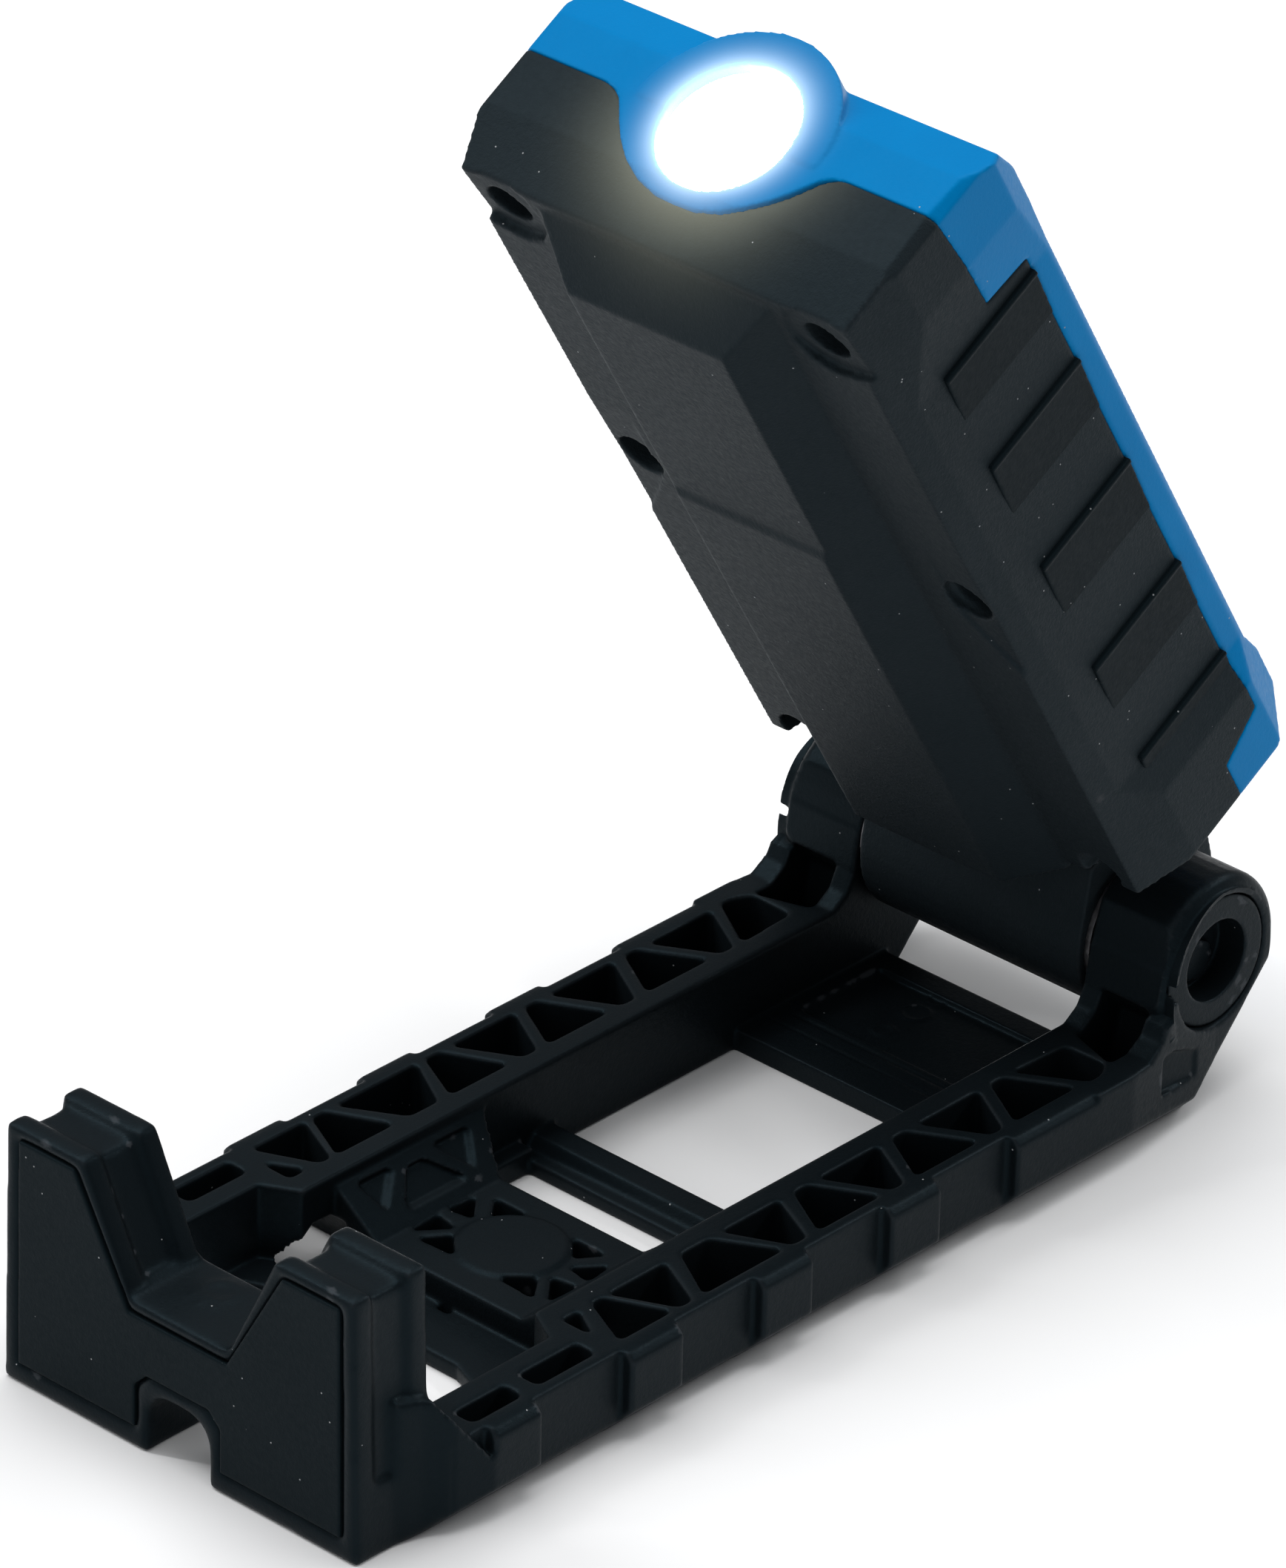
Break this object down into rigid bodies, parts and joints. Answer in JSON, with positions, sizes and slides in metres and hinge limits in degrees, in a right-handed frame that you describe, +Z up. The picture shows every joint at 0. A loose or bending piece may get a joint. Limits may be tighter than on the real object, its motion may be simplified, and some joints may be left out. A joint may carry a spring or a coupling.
{
  "type": "folding work light",
  "caption": "Folding hand lamp with a flood panel and an end spot, hinged between two lugs on a long openwork magnetic stand.",
  "frame": {"origin": "centre of the bottom of the bounding box, on the surface the stand lies on", "axes": "+Z up, +Y from the foot towards the hinge, +X to the lamp's right seen from the foot"},
  "size_m": [0.063, 0.153, 0.1401],
  "materials": {
    "stand_plastic": "satin black moulded plastic",
    "shell_black": "fine grained matte black plastic",
    "shell_blue": "satin blue plastic",
    "soft_rubber": "matte black soft-touch rubber",
    "steel": "zinc-plated steel",
    "magnet": "nickel-plated magnet",
    "clear_lens": "clear moulded lens, lit",
    "diffuser": "translucent satin diffuser",
    "reflector": "metallised reflector",
    "circuit_board": "green solder mask",
    "cell_wrap": "shrink-wrapped cell"
  },
  "bodies": {
    "stand": {"stand_frame": "stand_plastic", "foot_pad": "soft_rubber", "foot_magnet_left": "magnet", "foot_magnet_right": "magnet", "base_magnet": "magnet", "base_magnet_cover": "stand_plastic", "hinge_plug_left": "stand_plastic", "hinge_plug_right": "stand_plastic", "hinge_bolt": "steel", "hinge_nut": "steel", "friction_washer_left": "steel", "friction_washer_right": "steel"},
    "head": {"hinge_barrel": "shell_black", "rear_shell": "shell_black", "front_shell": "shell_blue", "side_grip_left": "soft_rubber", "side_grip_right": "soft_rubber", "cob_window": "diffuser", "cob_board": "circuit_board", "spot_lens": "clear_lens", "spot_reflector": "reflector", "spot_board": "circuit_board", "battery_cell": "cell_wrap", "main_board": "circuit_board", "charge_socket": "steel", "charge_light": "diffuser", "shell_screw_1": "steel", "shell_screw_2": "steel", "shell_screw_3": "steel", "shell_screw_4": "steel", "shell_screw_5": "steel", "shell_screw_6": "steel"},
    "button": {"power_button": "soft_rubber"},
    "cover": {"port_cover": "soft_rubber"}
  },
  "joints": [
    {"name": "head_tilt", "type": "hinge", "parent": "stand", "child": "head", "pos_m": [0, 0.0635, 0.0189], "axis": [1, 0, 0], "range_deg": [-75, 58.5]},
    {"name": "button_press", "type": "slide", "parent": "head", "child": "button", "axis": [0, -0.8565, -0.5161], "range_m": [0, 0.0008], "stiffness_N_per_m": 2000},
    {"name": "cover_open", "type": "hinge", "parent": "head", "child": "cover", "pos_m": [-0.0292, 0.05585, 0.04955], "axis": [0, -0.8565, -0.5161], "range_deg": [0, 110]}
  ]
}
